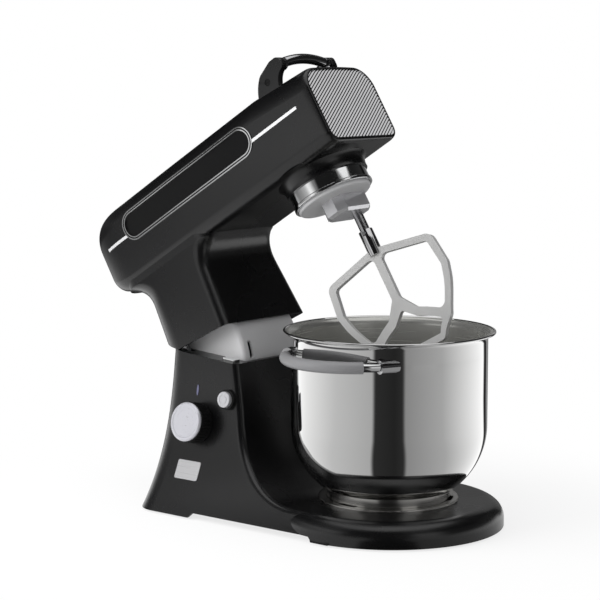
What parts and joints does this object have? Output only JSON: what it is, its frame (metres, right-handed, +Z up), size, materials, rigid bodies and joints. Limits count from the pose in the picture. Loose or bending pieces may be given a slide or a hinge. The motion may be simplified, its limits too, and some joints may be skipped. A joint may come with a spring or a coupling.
{
  "type": "stand mixer",
  "caption": "Tilt-head stand mixer: black housing on a round base, steel bowl with a side handle, planetary drive with a flat beater, speed knob and release button.",
  "frame": {"origin": "on the table below the bowl's axis, at the bottom of the middle foot", "axes": "+X to the front, +Y to the side away from the speed knob, +Z up"},
  "size_m": [0.5205, 0.2619, 0.5042],
  "materials": {
    "black_housing": "satin",
    "black_trim": "matte",
    "chrome": "polished",
    "satin_silver": "satin",
    "polished_steel": "polished",
    "cast_alloy": "satin",
    "grey_plastic": "satin",
    "soft_grip": "matte",
    "dark_panel": "matte",
    "rubber": "matte",
    "steel": "satin",
    "gear_plastic": "satin",
    "brass": "satin",
    "copper_core": "satin",
    "board": "satin",
    "lens": "gloss"
  },
  "bodies": {
    "stand": {"stand_housing": "black_housing", "bottom_cover": "black_trim", "rubber_feet": "rubber", "cover_screws": "steel", "control_board": "board", "cord_gland": "black_trim", "bowl_seat": "satin_silver", "hinge_housing": "grey_plastic", "hinge_pin": "steel", "indicator_lens": "lens", "name_plate": "satin_silver", "speed_switch": "black_trim", "button_collar": "black_trim", "button_spring": "steel"},
    "speed_knob": {"knob_body": "black_trim", "knob_cap": "satin_silver"},
    "release_button": {"button_cap": "satin_silver", "button_stem": "black_trim"},
    "head_lock": {"lock_tongue": "chrome"},
    "bowl": {"bowl_shell": "polished_steel", "bowl_foot": "satin_silver", "bowl_handle_rod": "chrome", "bowl_handle_sleeve": "soft_grip", "bowl_handle_brackets": "chrome"},
    "head": {"head_top_cover": "black_housing", "head_lower_housing": "black_housing", "front_bezel": "black_housing", "front_plate": "satin_silver", "trim_strips": "chrome", "slot_frame_left": "chrome", "slot_frame_right": "chrome", "slot_panel_left": "dark_panel", "slot_panel_right": "dark_panel", "handle_arms": "black_housing", "handle_grip": "chrome", "handle_screws": "steel", "hinge_lugs": "steel", "hub_collar": "chrome", "ring_gear": "steel", "gearbox_plate": "cast_alloy", "chassis_plate": "cast_alloy", "chassis_screws": "steel", "ball_bearings": "steel", "motor_can": "steel", "stator_core": "copper_core", "drive_belt": "rubber"},
    "planetary": {"planet_carrier": "grey_plastic", "output_block": "chrome", "main_shaft": "steel", "main_gear": "gear_plastic"},
    "tool": {"output_shaft": "steel", "planet_gear": "steel", "flat_beater": "cast_alloy"},
    "layshaft": {"layshaft": "steel", "big_pulley": "cast_alloy"},
    "motor": {"motor_rotor": "copper_core", "cooling_fan": "black_trim", "motor_pulley": "brass"}
  },
  "joints": [
    {"name": "head_tilt", "type": "hinge", "parent": "stand", "child": "head", "pos_m": [-0.238, 0, 0.1595], "axis": [0, -1, 0], "range_deg": [-31.3, 0]},
    {"name": "planetary_spin", "type": "hinge", "parent": "head", "child": "planetary", "pos_m": [-0.07438, 0, 0.34851], "axis": [-0.5195, 0, 0.8545], "continuous": true},
    {"name": "beater_spin", "type": "hinge", "parent": "planetary", "child": "tool", "pos_m": [-0.06464, 0.02394, 0.33571], "axis": [-0.5195, 0, 0.8545], "continuous": true},
    {"name": "layshaft_spin", "type": "hinge", "parent": "head", "child": "layshaft", "pos_m": [-0.14608, 0, 0.37982], "axis": [-0.5195, 0, 0.8545], "continuous": true},
    {"name": "motor_spin", "type": "hinge", "parent": "head", "child": "motor", "pos_m": [-0.28109, 0, 0.29774], "axis": [-0.5195, 0, 0.8545], "continuous": true},
    {"name": "speed_knob_turn", "type": "hinge", "parent": "stand", "child": "speed_knob", "pos_m": [-0.201, -0.08415, 0.098], "axis": [0, -0.974, 0.2265], "range_deg": [-40, 240]},
    {"name": "release_button_push", "type": "slide", "parent": "stand", "child": "release_button", "axis": [0, 0.9873, -0.1589], "range_m": [0, 0.0045], "stiffness_N_per_m": 800, "deforming": ["button_spring"]},
    {"name": "head_lock_slide", "type": "slide", "parent": "stand", "child": "head_lock", "axis": [0, 1, 0], "range_m": [0, 0.0045]},
    {"name": "bowl_twist", "type": "hinge", "parent": "stand", "child": "bowl", "pos_m": [0, 0, 0.03], "axis": [0, 0, 1], "range_deg": [0, 26]}
  ],
  "couplings": [
    {"joint": "beater_spin", "follows": "planetary_spin", "ratio": -3.2222},
    {"joint": "layshaft_spin", "follows": "planetary_spin", "ratio": -5},
    {"joint": "motor_spin", "follows": "planetary_spin", "ratio": -20},
    {"joint": "head_lock_slide", "follows": "release_button_push", "ratio": 1}
  ]
}
